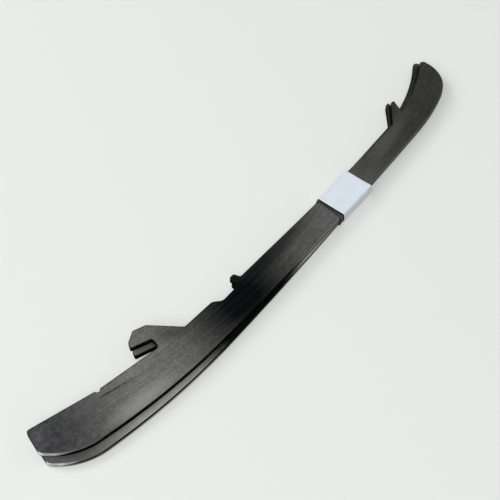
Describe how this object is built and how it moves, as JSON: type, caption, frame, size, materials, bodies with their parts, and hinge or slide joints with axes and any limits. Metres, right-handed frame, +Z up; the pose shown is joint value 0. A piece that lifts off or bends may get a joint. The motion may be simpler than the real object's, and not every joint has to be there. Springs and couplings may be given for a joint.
{
  "type": "hockey skate runner pair",
  "caption": "Pair of flat steel hockey skate runners with hooked holder edges and hollow-ground ice edges, stacked slightly crossed and bound at the waist by tape under a plain label.",
  "frame": {"origin": "middle of the band on the pair's swivel axis, at the underside that the pair lies on", "axes": "+X along the upper runner from heel to toe, +Y across it from ice edge to holder edge, +Z up through the stack"},
  "size_m": [0.2885, 0.0379, 0.0071],
  "materials": {
    "runner_steel": "dark ground steel with long grinding lines and a brighter ice edge",
    "binding_tape": "dark satin tape",
    "label_paper": "white coated paper"
  },
  "bodies": {
    "banded_runner": {"upper_runner": "runner_steel", "binding_tape": "binding_tape", "label_band": "label_paper"},
    "slipped_runner": {"lower_runner": "runner_steel"}
  },
  "joints": [
    {"name": "runner_swivel", "type": "hinge", "parent": "banded_runner", "child": "slipped_runner", "pos_m": [0, 0, 0], "axis": [0, 0, 1], "range_deg": [-1.6, 0]}
  ]
}
